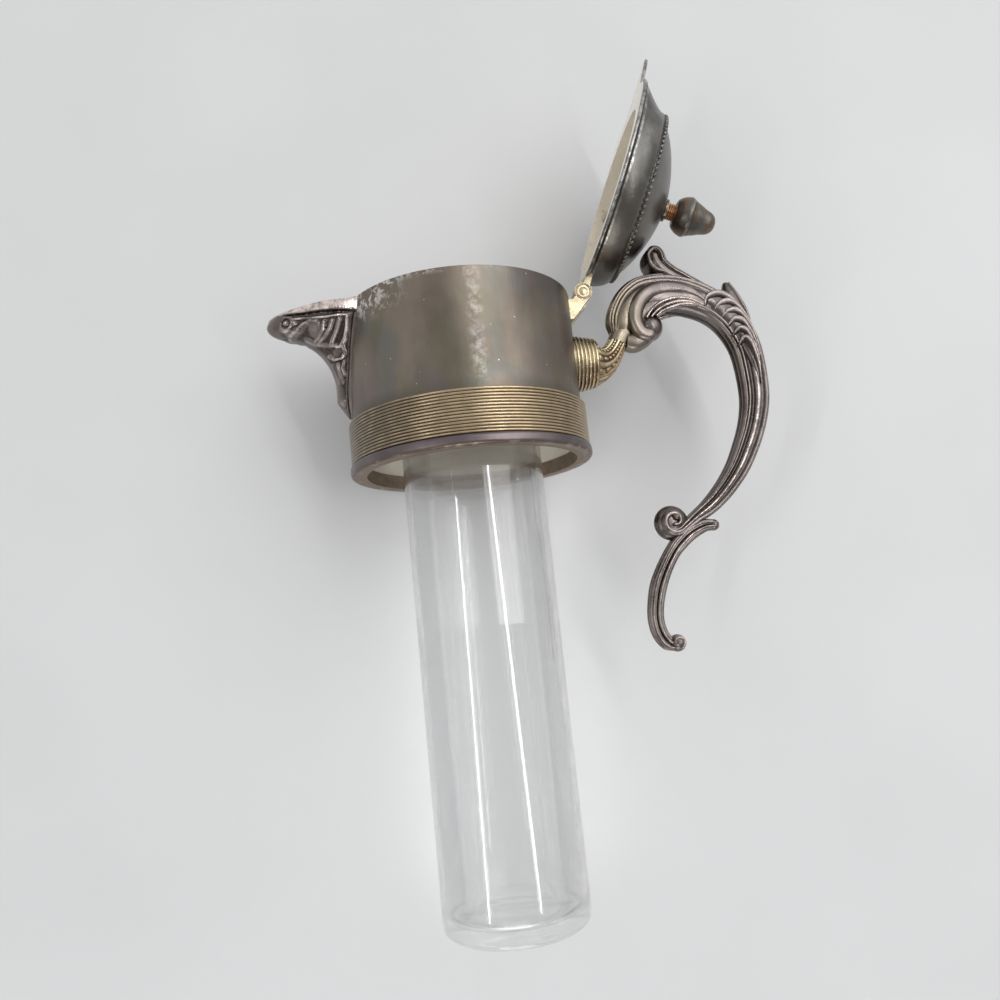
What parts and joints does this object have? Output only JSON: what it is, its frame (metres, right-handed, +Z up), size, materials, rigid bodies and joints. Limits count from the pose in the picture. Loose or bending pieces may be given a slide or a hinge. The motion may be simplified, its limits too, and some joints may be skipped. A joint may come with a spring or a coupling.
{
  "type": "claret jug mount",
  "caption": "Claret jug mount: plated collar with a beaked spout, a domed hinged lid with a knob, a scroll handle and a closed glass ice tube hanging below.",
  "frame": {"origin": "centre of the collar's lower rim, where the mount meets the vessel's shoulder", "axes": "+Z up the collar's axis, +X towards the hinge and handle, -X towards the spout, +Y towards the side turned away from the camera"},
  "size_m": [0.1791, 0.084, 0.3067],
  "materials": {
    "worn_plate": "satin, tarnished",
    "lid_plate": "satin, tarnished",
    "lip_plate": "satin",
    "tan_plate": "worn",
    "gilt": "polished",
    "brassy": "worn",
    "copper": "worn",
    "dark_plate": "dark, tarnished",
    "cast_plate": "polished high points, dark recesses",
    "steel": "satin",
    "clear_glass": "polished",
    "cork": "cork",
    "gasket": "matte"
  },
  "bodies": {
    "jug_mount": {"collar_drum": "worn_plate", "reeded_band": "tan_plate", "base_lip": "lip_plate", "neck_sleeve": "gilt", "neck_seal": "cork", "seat_plate": "gilt", "tube_gasket": "gasket", "spout": "worn_plate", "lid_seat": "gilt", "hinge_bracket": "brassy", "hinge_pin": "brassy", "handle_ferrule": "tan_plate", "handle_bell": "tan_plate", "handle_scroll": "cast_plate", "handle_screw": "steel", "handle_washer": "steel"},
    "lid": {"lid_leaf": "brassy", "lid_flange": "lid_plate", "lid_dome": "lid_plate", "bead_ring": "lid_plate", "finial_washer": "dark_plate", "finial_stud": "copper", "finial_nut": "copper"},
    "knob": {"finial_knob": "dark_plate"},
    "tube": {"ice_tube": "clear_glass"}
  },
  "joints": [
    {"name": "lid_hinge", "type": "hinge", "parent": "jug_mount", "child": "lid", "pos_m": [0.0452, 0, 0.0603], "axis": [0, -1, 0], "range_deg": [0, 111.4]},
    {"name": "knob_turn", "type": "hinge", "parent": "lid", "child": "knob", "pos_m": [0.08515, 0, 0.0918], "axis": [0.9311, 0, -0.3649], "range_deg": [-180, 180]},
    {"name": "tube_lift", "type": "slide", "parent": "jug_mount", "child": "tube", "axis": [0, 0, 1], "range_m": [0, 0.02]}
  ]
}
